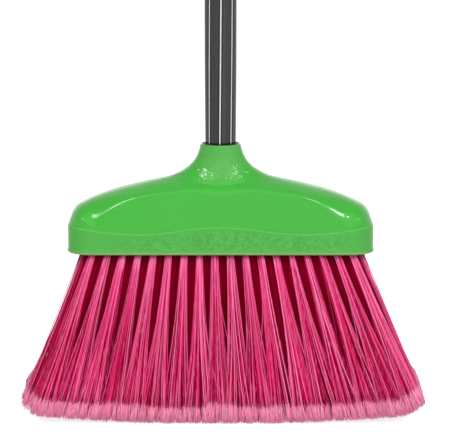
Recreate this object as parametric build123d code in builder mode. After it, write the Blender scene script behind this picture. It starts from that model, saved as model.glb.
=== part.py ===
from build123d import *
import math
import os

# A household broom stood upright on its bristle tips. Millimetres, z = 0 at the tips, handle along +Z,
# head along X, front of the head towards -Y. Heights "above the skirt" count from the skirt's bottom edge.

# Levels above the floor
SKIRT_Z = 116.0
HANDLE_TOP_Z = 1346.0

# Head cover, heights above the skirt
SKIRT_HALF_LENGTH = 106.6
SKIRT_HALF_DEPTH = 24.4
SKIRT_CORNER = 17.2
SKIRT_EDGE = 1.0
WAVE_MEAN = 16.6
WAVE_SWING = 2.4
WAVE_HALF_PITCH = 58.0
WAVE_HALVES = 5
NEAR = 1.0
STEP = 1.3
BODY_BASE = 10.0
BODY_TALL = 44.5
BODY_EDGE = 4.0
CREST_HEIGHT = 54.0
CREST_RADIUS = 236.0
CREST_HALF = 96.5
SHOULDER_RADIUS = 13.0
SHOULDER_SLOPE = 67.0
SHOULDER_RUN = 22.0
CROWN_RADIUS = 41.3
ARCH_DEEP = 12.0
ARCH_LAP = 11.0
WALL = 2.4
HOLLOW_FLAT = 8.0
HOLLOW_FALL = 0.45

# Flared neck: its half width and half depth fall off exponentially with height above the skirt
RIM = 75.3
NECK_LEVELS = [47.0, 49.5, 52.0, 55.0, 58.5, 63.0, 68.5, RIM]
NECK_FOOT = 51.5
NECK_WIDTH = 12.5
NECK_WIDTH_FLARE = 23.5
NECK_WIDTH_FADE = 8.3
NECK_DEPTH = 13.0
NECK_DEPTH_FLARE = 4.2
NECK_DEPTH_FADE = 9.0

# Screw socket inside the cover, heights above the skirt
SOCKET_RADIUS = 13.4
SOCKET_FOOT = 25.0
SOCKET_FLOOR = 27.0
SOCKET_BORE = 10.9

# Tuft block in the skirt, heights above the skirt
BLOCK_BOTTOM = 2.0
SLICE_TOP = 5.0
BLOCK_TOP = 13.0
BLOCK_GAP = 0.3
POCKET = 4.0
POCKET_DEEP = 6.2
HOOK_X = [-52.0, 52.0]
HOOK_WIDTH = 9.0
HOOK_INNER = 17.6
HOOK_OUTER = 19.4
HOOK_TIP = 20.8
HOOK_CATCH = 21.6
HOOK_TOP = 24.2
CATCH_GAP = 0.4

# Tufts: five staggered rows that fan out towards the floor
TUFT_PITCH = 10.4
ROW_PITCH = 9.0
ROW_TUFTS = [18, 19, 18, 19, 18]
FAN_X = 1.47
FAN_Y = 1.95
RING_STRANDS = 4
RING_RADIUS = 1.4
RING_TURN = 137.5
SPREAD = 2.4
STRAND_SIDES = 3
STRAND_RADIUS = 1.1
STRAND_BITE = 1.0
TIP_ARC = 1500.0
TIP_FLAT = 0.5
ANCHOR_WIDTH = 4.6
ANCHOR_THICK = 0.4
ANCHOR_TALL = 1.8
ANCHOR_FOOT = 9.0

# Screwed ferrule at the foot of the handle, heights above the skirt
FLANGE_RADIUS = 12.5
FLANGE_THICK = 1.0
FLANGE_GAP = 0.3
SPIGOT_RADIUS = 10.6
SPIGOT_FOOT = 28.0
FERRULE_BORE = 7.56
FERRULE_FLOOR = 33.0

# Wooden stick, its film sleeve and the hanging cap
FILM_RADIUS = 11.0
FILM_FOOT_RADIUS = 10.62
TAPER_TOP_Z = 250.0
STICK_RADIUS = 10.4
STICK_SPIGOT = 7.5
STICK_GAP = 0.3
CAP_TALL = 50.0
CAP_SLEEVE = 28.0
CAP_SPIGOT = 9.0
CAP_TAB_HALF = 5.5
CAP_TAB_SLOPE = 5.5
CAP_HOLE_RADIUS = 4.5

os.makedirs("parts", exist_ok=True)


def level(height):
    """The horizontal plane at a height above the skirt."""
    return Plane.XY.offset(SKIRT_Z + height)


def outline(inset):
    """Draw the skirt's rounded outline, moved inwards."""
    RectangleRounded(2 * (SKIRT_HALF_LENGTH - inset), 2 * (SKIRT_HALF_DEPTH - inset), SKIRT_CORNER - inset)


def crest_line(lowered):
    """Draw the crest seen from the front, moved inwards: a wide arc, two tight shoulders, straight ends."""
    slope = math.asin(CREST_HALF / CREST_RADIUS)
    steep = math.radians(SHOULDER_SLOPE)
    top = SKIRT_Z + CREST_HEIGHT - lowered
    wide = CREST_RADIUS - lowered
    tight = SHOULDER_RADIUS - lowered

    def shoulder(angle):
        across = wide * math.sin(slope) + tight * (math.sin(angle) - math.sin(slope))
        down = wide * (1 - math.cos(slope)) + tight * (math.cos(slope) - math.cos(angle))
        return across, top - down

    start = shoulder(slope)
    middle = shoulder((slope + steep) / 2)
    end = shoulder(steep)
    foot = (end[0] + SHOULDER_RUN * math.cos(steep), end[1] - SHOULDER_RUN * math.sin(steep))
    Line((-foot[0], foot[1]), (-end[0], end[1]))
    ThreePointArc((-end[0], end[1]), (-middle[0], middle[1]), (-start[0], start[1]))
    ThreePointArc((-start[0], start[1]), (0, top), start)
    ThreePointArc(start, middle, end)
    Line(end, foot)
    return foot


def crest_plane(path):
    """The plane square to the start of a crest line, its local Y pointing out of the cover."""
    return Plane(origin=path @ 0, x_dir=(0, 1, 0), z_dir=path % 0)


def neck_half(height, middle, flare, fade):
    """Half width or half depth of the neck at a height above the skirt."""
    return middle + flare * math.exp((NECK_FOOT - height) / fade)


def tuft_roots(row):
    """The places of one row's tufts on the underside of the block."""
    count = ROW_TUFTS[row]
    row_y = (row - (len(ROW_TUFTS) - 1) / 2) * ROW_PITCH
    return [((i - (count - 1) / 2) * TUFT_PITCH, row_y) for i in range(count)]


def tuft_plane(root, height):
    """A plane square to a tuft's lean, its normal up the tuft, at a height above the skirt."""
    reach = SKIRT_Z + BLOCK_BOTTOM
    lean = Vector((1 - FAN_X) * root[0], (1 - FAN_Y) * root[1], reach).normalized()
    rise = (height - BLOCK_BOTTOM) / lean.Z
    start = Vector(root[0], root[1], reach) + lean * rise
    return Plane(origin=start, x_dir=(lean.Z, 0, -lean.X), z_dir=lean)


def ring_turn(root):
    """The turn of a tuft's strands, mirrored from side to side and from front to back."""
    turn = RING_TURN * (abs(root[0]) / TUFT_PITCH + abs(root[1]) / ROW_PITCH)
    return math.copysign(turn, root[0] * root[1])


# Body of the cover: a crowned arch with rounded front and back edges, filled in below
body_depth = SKIRT_HALF_DEPTH - STEP
edge_y = body_depth - BODY_EDGE
edge_reach = CROWN_RADIUS - BODY_EDGE
edge_rise = math.sqrt(edge_reach**2 - edge_y**2)
edge_z = edge_rise - CROWN_RADIUS
edge_turn = math.atan2(edge_rise, edge_y)
crown_end = (edge_y + BODY_EDGE * math.cos(edge_turn), edge_z + BODY_EDGE * math.sin(edge_turn))
edge_mid = (edge_y + BODY_EDGE * math.cos(edge_turn / 2), edge_z + BODY_EDGE * math.sin(edge_turn / 2))
with BuildPart() as body:
    with BuildLine(Plane.XZ) as crest:
        crest_line(0)
    with BuildSketch(crest_plane(crest.wire())):
        with BuildLine():
            ThreePointArc((-crown_end[0], crown_end[1]), (0, 0), crown_end)
            ThreePointArc(crown_end, edge_mid, (body_depth, edge_z))
            Polyline(
                (body_depth, edge_z),
                (body_depth, -ARCH_DEEP),
                (-body_depth, -ARCH_DEEP),
                (-body_depth, edge_z),
            )
            ThreePointArc(
                (-body_depth, edge_z), (-edge_mid[0], edge_mid[1]), (-crown_end[0], crown_end[1])
            )
        make_face()
    sweep(path=crest.wire())
    with BuildSketch(Plane.XZ.offset(-body_depth)):
        with BuildLine():
            foot = crest_line(ARCH_LAP)
            Line(foot, (-foot[0], foot[1]))
        make_face()
    extrude(amount=2 * body_depth)
    with BuildSketch(level(BODY_BASE)):
        outline(STEP)
    extrude(amount=BODY_TALL, mode=Mode.INTERSECT)

# Skirt with its waved upper edge
with BuildPart() as skirt:
    with BuildSketch(level(0)):
        outline(0)
    extrude(amount=WAVE_MEAN + 2 * WAVE_SWING)
    wave_end = WAVE_HALVES * WAVE_HALF_PITCH / 2
    middle = SKIRT_Z + WAVE_MEAN
    with BuildSketch(Plane.XZ.offset(-2 * SKIRT_HALF_DEPTH)):
        with BuildLine():
            for i in range(WAVE_HALVES):
                start = i * WAVE_HALF_PITCH - wave_end
                swing = WAVE_SWING if i % 2 == 0 else -WAVE_SWING
                ThreePointArc(
                    (start, middle),
                    (start + WAVE_HALF_PITCH / 2, middle + swing),
                    (start + WAVE_HALF_PITCH, middle),
                )
            Polyline((wave_end, middle), (wave_end, SKIRT_Z), (-wave_end, SKIRT_Z), (-wave_end, middle))
        make_face()
    extrude(amount=4 * SKIRT_HALF_DEPTH, mode=Mode.INTERSECT)
    top_edges = [edge for edge in skirt.edges() if edge.center().Z > SKIRT_Z + WAVE_MEAN - 2 * WAVE_SWING]
    side_edges = [edge for edge in top_edges if abs(edge.center().Y) > NEAR]
    end_edges = [edge for edge in top_edges if abs(edge.center().X) > SKIRT_HALF_LENGTH - NEAR]
    chamfer(side_edges + end_edges, length=SKIRT_EDGE)
    chamfer(skirt.edges().group_by(Axis.Z)[0], length=SKIRT_EDGE)

# Hollow of the cover, with the socket's tube left standing
with BuildPart() as hollow:
    with BuildSketch(level(BLOCK_TOP)):
        outline(STEP + WALL)
    extrude(amount=BODY_TALL)
    with BuildLine(Plane.XZ) as crest:
        crest_line(WALL)
    with BuildSketch(crest_plane(crest.wire())):
        Polygon(
            (-HOLLOW_FLAT, 0),
            (HOLLOW_FLAT, 0),
            (SKIRT_HALF_DEPTH, HOLLOW_FALL * (HOLLOW_FLAT - SKIRT_HALF_DEPTH)),
            (SKIRT_HALF_DEPTH, 2 * ARCH_DEEP),
            (-SKIRT_HALF_DEPTH, 2 * ARCH_DEEP),
            (-SKIRT_HALF_DEPTH, HOLLOW_FALL * (HOLLOW_FLAT - SKIRT_HALF_DEPTH)),
            align=None,
        )
    sweep(path=crest.wire(), mode=Mode.SUBTRACT)
    with BuildSketch(level(SOCKET_FOOT)):
        Circle(SOCKET_RADIUS)
    extrude(amount=BODY_TALL, mode=Mode.SUBTRACT)

with BuildPart() as head_cover:
    add(body.part)
    for height in NECK_LEVELS:
        with BuildSketch(level(height)):
            Ellipse(
                neck_half(height, NECK_WIDTH, NECK_WIDTH_FLARE, NECK_WIDTH_FADE),
                neck_half(height, NECK_DEPTH, NECK_DEPTH_FLARE, NECK_DEPTH_FADE),
            )
    loft(ruled=True)
    add(skirt.part)
    add(hollow.part, mode=Mode.SUBTRACT)
    with BuildSketch(level(0)):
        outline(WALL)
    extrude(amount=BLOCK_TOP, mode=Mode.SUBTRACT)
    with BuildSketch(level(SOCKET_FLOOR)):
        Circle(SOCKET_BORE)
    extrude(amount=RIM - SOCKET_FLOOR, mode=Mode.SUBTRACT)
    for side in (-1, 1):
        with BuildSketch(level(HOOK_CATCH - CATCH_GAP)):
            with Locations(*[(x, side * (HOOK_OUTER + HOOK_TIP + CATCH_GAP) / 2) for x in HOOK_X]):
                Rectangle(HOOK_WIDTH + 2 * CATCH_GAP, HOOK_TIP - HOOK_OUTER + CATCH_GAP)
        extrude(amount=HOOK_TOP - HOOK_CATCH + 2 * CATCH_GAP, mode=Mode.SUBTRACT)
head_cover.part.label = "head_cover"
export_step(head_cover.part, "parts/head_cover.step")

# Tuft block: a moulded board with a pocket for each tuft and four hooks that snap into the cover
all_roots = [root for row in range(len(ROW_TUFTS)) for root in tuft_roots(row)]
with BuildPart() as tuft_block:
    with BuildSketch(level(SLICE_TOP)):
        outline(WALL + BLOCK_GAP)
    extrude(amount=BLOCK_TOP - SLICE_TOP)
    with BuildSketch(*[tuft_plane(root, SLICE_TOP - STRAND_BITE) for root in all_roots]):
        Rectangle(POCKET, POCKET)
    extrude(amount=POCKET_DEEP + STRAND_BITE, mode=Mode.SUBTRACT)
    for x in HOOK_X:
        for side in (-1, 1):
            with BuildSketch(Plane.YZ.offset(x - HOOK_WIDTH / 2)):
                with BuildLine():
                    Polyline(
                        (side * HOOK_INNER, SKIRT_Z + BLOCK_TOP),
                        (side * HOOK_OUTER, SKIRT_Z + BLOCK_TOP),
                        (side * HOOK_OUTER, SKIRT_Z + HOOK_CATCH),
                        (side * HOOK_TIP, SKIRT_Z + HOOK_CATCH),
                        (side * HOOK_OUTER, SKIRT_Z + HOOK_TOP),
                        (side * HOOK_INNER, SKIRT_Z + HOOK_TOP),
                        close=True,
                    )
                make_face()
            extrude(amount=HOOK_WIDTH)
tuft_block.part.label = "tuft_block"
export_step(tuft_block.part, "parts/tuft_block.step")

# Wire anchors that hold the folded tufts in the block
with BuildPart() as tuft_anchors:
    with Locations(*[tuft_plane(root, ANCHOR_FOOT) for root in all_roots]):
        Box(
            ANCHOR_WIDTH,
            ANCHOR_THICK,
            ANCHOR_TALL,
            align=(Align.CENTER, Align.CENTER, Align.MIN),
        )
tuft_anchors.part.label = "tuft_anchors"
export_step(tuft_anchors.part, "parts/tuft_anchors.step")

# Bristle rows: each a strip of the block's underside with its tufts, whose strands fan out to the tips
for row in range(len(ROW_TUFTS)):
    with BuildPart() as bristles:
        strands = []
        for root in tuft_roots(row):
            for i in range(RING_STRANDS):
                angle = math.radians(ring_turn(root) + 360 * i / RING_STRANDS)
                dx = RING_RADIUS * math.cos(angle)
                dy = RING_RADIUS * math.sin(angle)
                tip_x = FAN_X * root[0] + SPREAD * dx
                tip_y = FAN_Y * root[1] + SPREAD * dy
                tip_z = max(tip_x**2 / (2 * TIP_ARC) - TIP_FLAT, 0.0)
                start = Vector(root[0] + dx, root[1] + dy, SKIRT_Z + SLICE_TOP - STRAND_BITE)
                run = Vector(tip_x, tip_y, tip_z) - start
                with BuildSketch(Plane(origin=start)):
                    RegularPolygon(STRAND_RADIUS, STRAND_SIDES)
                strands.append(extrude(amount=run.length, dir=run, mode=Mode.PRIVATE))
        with BuildSketch(level(BLOCK_BOTTOM)):
            outline(WALL + BLOCK_GAP)
            row_y = tuft_roots(row)[0][1]
            outwards = math.copysign(ROW_PITCH / 2, row_y) if row in (0, len(ROW_TUFTS) - 1) else 0
            with Locations((0, row_y + outwards)):
                Rectangle(2 * SKIRT_HALF_LENGTH, ROW_PITCH + 2 * abs(outwards), mode=Mode.INTERSECT)
        extrude(amount=SLICE_TOP - BLOCK_BOTTOM)
        add(strands)
    name = f"bristle_row_{row + 1}"
    bristles.part.label = name
    export_step(bristles.part, f"parts/{name}.step")

# Ferrule: a flange on the neck's rim and a bored spigot in the screw socket
flange_foot = SKIRT_Z + RIM + FLANGE_GAP
flange_top = flange_foot + FLANGE_THICK
with BuildPart() as threaded_ferrule:
    with BuildSketch(Plane.XZ):
        with BuildLine():
            Polyline(
                (0, SKIRT_Z + SPIGOT_FOOT),
                (SPIGOT_RADIUS, SKIRT_Z + SPIGOT_FOOT),
                (SPIGOT_RADIUS, flange_foot),
                (FLANGE_RADIUS, flange_foot),
                (FLANGE_RADIUS, flange_top),
                (FERRULE_BORE, flange_top),
                (FERRULE_BORE, SKIRT_Z + FERRULE_FLOOR),
                (0, SKIRT_Z + FERRULE_FLOOR),
                close=True,
            )
        make_face()
    revolve(axis=Axis.Z)
threaded_ferrule.part.label = "threaded_ferrule"
export_step(threaded_ferrule.part, "parts/threaded_ferrule.step")

# Wooden stick with a spigot at each end
stick_foot = flange_top + STICK_GAP
stick_top = HANDLE_TOP_Z - CAP_TALL
with BuildPart() as handle_stick:
    with BuildSketch(Plane.XZ):
        with BuildLine():
            Polyline(
                (0, SKIRT_Z + FERRULE_FLOOR + STICK_GAP),
                (STICK_SPIGOT, SKIRT_Z + FERRULE_FLOOR + STICK_GAP),
                (STICK_SPIGOT, stick_foot),
                (STICK_RADIUS, stick_foot),
                (STICK_RADIUS, stick_top),
                (CAP_SPIGOT, stick_top),
                (CAP_SPIGOT, stick_top + CAP_SLEEVE),
                (0, stick_top + CAP_SLEEVE),
                close=True,
            )
        make_face()
    revolve(axis=Axis.Z)
handle_stick.part.label = "handle_stick"
export_step(handle_stick.part, "parts/handle_stick.step")

# Plastic film over the stick, drawn in towards the head
with BuildPart() as handle_film:
    with BuildSketch(Plane.XZ):
        with BuildLine():
            Polyline(
                (STICK_RADIUS, stick_foot),
                (FILM_FOOT_RADIUS, stick_foot),
                (FILM_RADIUS, TAPER_TOP_Z),
                (FILM_RADIUS, stick_top),
                (STICK_RADIUS, stick_top),
                close=True,
            )
        make_face()
    revolve(axis=Axis.Z)
handle_film.part.label = "handle_film"
export_step(handle_film.part, "parts/handle_film.step")

# Hanging cap: a sleeve over the stick's top spigot and a flat round tab with its hole
hole_z = HANDLE_TOP_Z - FILM_RADIUS
with BuildPart() as hanger_cap:
    with BuildSketch(Plane.XY.offset(stick_top)):
        Circle(FILM_RADIUS)
    extrude(amount=CAP_TALL)
    with BuildSketch(Plane.XZ.offset(-FILM_RADIUS)):
        with Locations((0, hole_z)):
            Circle(FILM_RADIUS)
        with Locations((0, (stick_top + hole_z) / 2)):
            Rectangle(2 * FILM_RADIUS, hole_z - stick_top)
        with Locations((0, hole_z)):
            Circle(CAP_HOLE_RADIUS, mode=Mode.SUBTRACT)
    extrude(amount=2 * FILM_RADIUS, mode=Mode.INTERSECT)
    with BuildSketch(Plane.YZ.offset(-FILM_RADIUS)):
        for side in (-1, 1):
            with BuildLine():
                Polyline(
                    (side * CAP_TAB_HALF, HANDLE_TOP_Z),
                    (side * CAP_TAB_HALF, stick_top + CAP_SLEEVE + CAP_TAB_SLOPE),
                    (side * FILM_RADIUS, stick_top + CAP_SLEEVE),
                    (side * FILM_RADIUS, HANDLE_TOP_Z),
                    close=True,
                )
            make_face()
    extrude(amount=2 * FILM_RADIUS, mode=Mode.SUBTRACT)
    with BuildSketch(Plane.XY.offset(stick_top)):
        Circle(CAP_SPIGOT)
    extrude(amount=CAP_SLEEVE, mode=Mode.SUBTRACT)
hanger_cap.part.label = "hanger_cap"
export_step(hanger_cap.part, "parts/hanger_cap.step")
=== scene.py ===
"""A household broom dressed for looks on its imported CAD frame: head, bristles, handle and studio stage."""

import math

import bpy
import numpy as np
from bpy.props import FloatProperty, FloatVectorProperty, IntProperty, PointerProperty
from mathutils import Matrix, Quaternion, Vector


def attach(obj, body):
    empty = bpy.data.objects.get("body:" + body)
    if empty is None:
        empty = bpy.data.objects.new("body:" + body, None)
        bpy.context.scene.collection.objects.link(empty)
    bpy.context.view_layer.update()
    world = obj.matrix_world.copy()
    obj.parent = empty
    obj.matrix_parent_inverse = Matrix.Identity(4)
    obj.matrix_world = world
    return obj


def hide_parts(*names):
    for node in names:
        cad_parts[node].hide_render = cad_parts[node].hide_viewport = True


bl_info = {
    "name": "Household broom",
    "version": (1, 0, 0),
    "blender": (4, 5, 0),
    "location": "3D View > Sidebar > Broom",
    "description": "Builds a household broom's visible pieces and studio stage around its CAD frame",
    "category": "Add Mesh",
}

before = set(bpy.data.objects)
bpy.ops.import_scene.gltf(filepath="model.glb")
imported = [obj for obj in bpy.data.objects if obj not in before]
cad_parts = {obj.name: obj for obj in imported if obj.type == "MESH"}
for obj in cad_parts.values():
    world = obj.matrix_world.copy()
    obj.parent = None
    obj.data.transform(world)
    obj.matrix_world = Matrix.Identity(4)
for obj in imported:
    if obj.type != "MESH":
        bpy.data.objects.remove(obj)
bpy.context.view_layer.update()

# Shapes are worked out in millimetres in the CAD frame and put into meshes in metres. A span is the two ends
# of a smooth step, and a pair of spans is where something rises and where it falls again.
MM = 0.001
TURN = 2.0 * math.pi
QUARTER = math.pi / 2.0
TINY = 1e-9

# Pebbling
LATTICE = 64
LATTICE_SEED = 7
LATTICE_TILT = np.array([(0.8, -0.36, 0.48), (0.6, 0.48, -0.64), (0.0, 0.8, 0.6)])
PEBBLE_GAIN = 1.7
COARSE_SHARE = 0.6
FINE_SHARE = 0.5
FINE_PEBBLE = 0.9
NECK_PEBBLE = 1.5
BAND_PEBBLE = 1.9

# Head cover, heights counted from the skirt's bottom edge; columns are along a front, a corner and an end
SKIRT_Z = 116.0
COVER_COLUMNS = (132, 36, 28)
BAND_COLUMNS = (366, 52, 30)
CORNER_X = 89.4
CORNER_Y = 7.2
CORNER_RADIUS = 17.2
STEP = 1.3
WALL = 2.4
WAVE_MEAN = 16.6
WAVE_SWING = 2.4
WAVE_HALF_PITCH = 58.0
CREST_HEIGHT = 54.0
CREST_RADIUS = 236.0
CREST_HALF = 97.6
SHOULDER_RADIUS = 11.5
SHOULDER_SLOPE = math.radians(67.0)
CROWN_RADIUS = 41.3
CROWN_LEAST = 0.8
CROWN_SOFT = 1.6
CROWN_RINGS = 44
EDGE_RUN = 2.3
EDGE_DROP = 1.6
EDGE_RINGS = 13
SOFT_EDGE_RUN = 12.0
SOFT_EDGE_DROP = 9.5
SOFT_SPAN = (56.0, 91.0)
FULLNESS = 0.2
FULL_SPANS = ((35.0, 60.0), (66.0, 90.0))
END_BEND = 1.4
BEND_SPAN = (76.0, 89.0)
END_LIFT = 0.5
LIFT_SPANS = ((58.0, 76.0), (88.0, 99.0))
END_EDGE_DROP = 0.5
END_SPAN = (86.5, 99.0)
NECK_DIP = 4.0
DIP_HALF = 16.0
DIP_POWER = 4
COVER_TUCK = 2.5
COVER_RINGS = 8
INNER_LEAST = 2.4
INNER_RINGS = 16

# Skirt's band
BAND_INSET = 0.5
BAND_RINGS = 30
BAND_INNER = ((1.8, 0.0), (WALL, 0.2), (WALL, 6.0), (3.4, 13.0))
LEDGE_TOP = 0.9
LEDGE_INSETS = (3.4, 2.0)
LEDGE_ROUND = 1.4
LEDGE_START = math.radians(25.0)
# Tint of the rounded waved edge: a painted highlight line along it
LEDGE_PAINTED_HIGHLIGHT = 0.9
LIP_TOP = 1.5
LIP_BEVEL = 0.6
LIP_ROUND = 1.0
STIPPLE_LOW = (2.2, 3.4)
STIPPLE_HIGH = (0.9, 2.2)
STIPPLE_MIDDLE = 12.0
STIPPLE_REACH = (58.0, 92.0)
STIPPLE_LEAST = 0.35

# Neck and screw socket: an ellipse's half is its least size, flare and fall-off
RIM = 74.6
NECK_FOOT = 51.5
NECK_WIDTH = (12.5, 23.5, 8.3)
NECK_DEPTH = (13.0, 4.2, 9.0)
NECK_RANGE = (20.0, 90.0)
HALVINGS = 40
NECK_JOIN = 49.0
NECK_LOWEST = 49.6
NECK_CUT = 4.0
NECK_PLAIN = 58.0
NECK_SOFT = 1.4
NECK_LEVELS = np.concatenate(
    [np.linspace(RIM, 72.4, 7)[1:], np.linspace(72.2, 70.6, 9), np.linspace(70.2, NECK_JOIN, 54)]
)
GROOVE_HEIGHT = 71.4
GROOVE_DEPTH = 0.12
GROOVE_HALF = 0.35
RIM_TOP = RIM + 0.12
RIM_ROUND = 0.45
RIM_TAPER = 0.03
RIM_STEP = ((12.62, RIM), (12.8, RIM_TOP - 0.04))
SOCKET_RADIUS = 13.4
SOCKET_FOOT = 25.0
SOCKET_MIDDLE = 35.0
SOCKET_FLOOR = 27.0
SOCKET_BORE = 10.9
BORE_LEVELS = (SOCKET_FLOOR, 28.0, 45.0, 60.0, 70.0, RIM - 0.8)
BORE_ROUND = 0.7
BORE_TURNS = np.radians(np.linspace(12.0, 90.0, 6))
RELIEF_SPANS = ((47.5, 52.0), (57.5, 64.5))
RELIEF_REACH = (24.0, 44.0)
# Share of the neck's pebbling put into its colour: painted shade in the pits, painted highlight on the bumps
RELIEF_PAINTED_SHADE = 0.3
DEEPER = 0.4
DEEPER_SPANS = ((2.0, 8.0), (16.0, 24.0))
# Where the neck's foot turns to the paler green that is painted in for its sheen
SHEEN_RISE = (46.0, 58.0)
SHEEN_REACH = (8.0, 20.0)

# Tuft board
BOARD_FACE = 2.0
BOARD_BACK = 5.0
BOARD_INSET = 2.7
BOARD_GRID = (74, 330)
BOARD_CROWDING = 0.98 * QUARTER
BOARD_BEVEL = 0.4
POCKET_DEPTH = 1.8
POCKET_WALL = (2.3, 3.0)
COLLAR_RADIUS = 3.5
COLLAR_HALF = 0.45

# Tufts and filaments
ROOT_SHIFT = 1.0
ROOT_DEPTH = 1.5
TUFT_PITCH = 10.4
ROW_PITCH = 9.0
ROW_TUFTS = (18, 19, 18, 19, 18)
BRUSH_HALF = np.array([9.0 * TUFT_PITCH, 2.0 * ROW_PITCH])
FAN = np.array([1.47, 1.95])
INNER_FULLNESS = 1.36
GOLDEN_TURN = math.radians(137.508)
CLUMP_WANDER = 1.7
CLUMP_SPREAD = 2.2
TIP_JITTER = 0.8
TIP_ARC = 1500.0
TIP_FLAT = 0.5
TIP_TRIM = 0.7
TIP_SHORT = 0.25
TIP_SHORTEST = 3.0
TIP_EASE = np.array([132.0, 33.0])
TIP_LIMIT = np.array([140.3, 38.9])
TIP_MIDDLE = np.array([1.0, 0.0])
TURN_UP = 7.0
TURN_UP_FROM = 124.0
TURN_UP_RUN = 16.0
STRAY_SWEEP = np.array([9.0, 3.0])
STRAY_INWARD = 60.0
STRAY_BOW = 1.6
BOW = 0.5
FLARE_POWER = 1.9
FLAG_TUFT_SPREAD = 0.08
FLAG_RANGE = (0.88, 1.12)
FLAG_OVERLAP = 0.25
THICK_RANGE = (0.8, 1.15)
SHAFT_RADII = np.array([1.0, 1.0, 1.0, 1.0, 1.0, 1.0, 1.0, 0.5])
HAIR_RADII = np.array([0.6, 0.62, 0.5])
HAIR_START = 0.45
HAIR_SPLAY = np.array([1.0, 1.0, 0.35])
HAIR_SPLAY_SIZE = 1.2
HAIR_GROWTH = np.array([0.2, 0.7, 1.0])[:, None]
HAIR_LOWEST = 0.25
PALE_TONE = 2.4
TONE_LIFT = 0.25
# Painted shade on each tuft's core: how much darker its tone is, and where the core lies
CORE_SHADE_TONE = 1.1
CORE_SPAN = (0.45, 0.8)
# Painted shade on filaments inside the brush: the core's share, the depth it grows over, and how much it
# fades towards the tips
CORE_SHADE = 0.25
INSIDE_SPAN = (1.2, 4.2)
BURIED_SPAN = (0.3, 0.9)
BURIED_SHADE_LOSS = 0.3

# Handle, heights above the floor; a wave of the film's ripple is its size, count and phase
FERRULE_COLUMNS = 72
FERRULE_FOOT = 144.0
FERRULE_FLOOR = 149.0
FERRULE_BORE = 7.56
BORE_BEVEL = 0.4
FOOT_INSETS = (1.6, 0.9)
FOOT_RISE = 0.3
SPIGOT_RADIUS = 10.6
FLANGE_RADIUS = 12.4
FLANGE_FOOT = 190.65
FLANGE_TOP = 190.95
FLANGE_FILLET = 0.6
THREAD_FOOT = FERRULE_FOOT + 1.2
THREAD_TOP = FLANGE_FOOT - 2.0
THREAD_RINGS = 112
THREAD_PITCH = 5.0
THREAD_FLANK = (-0.35, 0.65)
THREAD_SPANS = ((THREAD_FOOT, FERRULE_FOOT + 5.0), (FLANGE_FOOT - 8.0, FLANGE_FOOT - 4.0))
FILM_COLUMNS = 120
FILM_RINGS = (40, 30)
FILM_FOOT = 191.0
FILM_TOP = 1296.0
FILM_INNER = 10.4
FILM_FOOT_RADIUS = 10.62
FILM_RADIUS = 11.0
TAPER_TOP = 250.0
RIPPLE_FALL = 16.0
RIPPLE_END = 0.02
RIPPLE_SWING = 0.5
RIPPLE_WAVES = ((1.0, 9.0, 0.6), (0.6, 14.0, 2.0))
CAP_HOLE_Z = 1335.0
CAP_HOLE_RADIUS = 4.5
CAP_TAB_HALF = 5.5
CAP_TAB_FOOT = 1329.5
CAP_SLEEVE_TOP = 1324.0
CAP_SOFT = 1.2
CAP_LEAST = 0.15
CAP_RINGS = 34
CAP_RAYS = (60, 40, 24, 40)

# Finishes: roughness above the smooth plastic's, specular level and depth of the skin's bump. That depth and
# the heights of the bottom edge's painted reflection and of the level where the first line's turn is given
# are in metres
SMOOTH = (0.0, 0.36, 0.00002)
TEXTURED = (0.12, 0.16, 0.00008)
BOARD = (0.16, 0.3, 0.00006)
LIP_REFLECTION_SPAN = (0.1174, 0.1181)
STRIPE_LEVEL = 0.236

# Stage, the floor in millimetres and the rest in metres and degrees. A lamp is its name, its power's setting,
# size, azimuth, elevation, distance and roll
FLOOR_HALF = 9000.0
FLOOR_Z = -0.3
FLOOR_GREY = (0.86, 0.86, 0.86, 1.0)
FLOOR_GLOW = 0.78
LAMP_TARGET = (0.0, 0.0, 0.16)
LAMPS = (
    ("front_fill", "front_power", (3.0, 2.4), 8.0, 27.0, 2.8, 0.0),
    ("back_fill", "back_power", (3.8, 1.0), 180.0, 12.0, 2.8, 0.0),
    ("right_fill", "side_power", (3.0, 2.6), 70.0, 18.0, 2.6, 0.0),
    ("left_softbox", "left_power", (0.56, 0.36), -36.6, 37.9, 1.8, 46.0),
    ("right_lamp", "right_power", (0.34, 0.06), 45.0, 30.6, 1.8, 44.0),
    ("neck_lamp", "neck_power", (0.2, 0.2), 30.0, 39.0, 1.8, 0.0),
    ("top_strip", "top_power", (1.4, 0.3), 0.0, 62.0, 1.8, 0.0),
)
CAMERA_TARGET = (0.0027, 0.0, 0.13475)
CAMERA_LENS = 195.4
CAMERA_SENSOR = 36.0
CAMERA_CLIP = 100.0


def linear(red, green, blue):
    """A colour given as 0 to 255 display values, as scene-linear values."""
    shown = np.array([red, green, blue]) / 255.0
    return tuple(np.where(shown <= 0.04045, shown / 12.92, ((shown + 0.055) / 1.055) ** 2.4).tolist())


def eased(share):
    """The cubic 3t^2 - 2t^3 of a share from 0 to 1."""
    return share * share * (3.0 - 2.0 * share)


def smooth_step(value, low, high):
    """0 below low, 1 above high, and eased between them."""
    return eased(np.clip((value - low) / (high - low), 0.0, 1.0))


def hump(value, rise, fall):
    """0 before the first span, 1 between the two and 0 after the second."""
    return smooth_step(value, *rise) * (1.0 - smooth_step(value, *fall))


def soft_max(a, b, reach):
    """The larger of two heights, with a parabola of that reach where they meet."""
    return np.maximum(a, b) + np.maximum(reach - np.abs(a - b), 0.0) ** 2 / (4.0 * reach)


def compass(angle):
    """Unit vectors of the plan at angles."""
    return np.stack([np.cos(angle), np.sin(angle)], -1)


def raised(plan, height):
    """Plan points with a height, one for all or one for each."""
    height = np.broadcast_to(np.asarray(height, float), plan.shape[:-1])
    return np.concatenate([plan, height[..., None]], -1)


# Meshes


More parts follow.
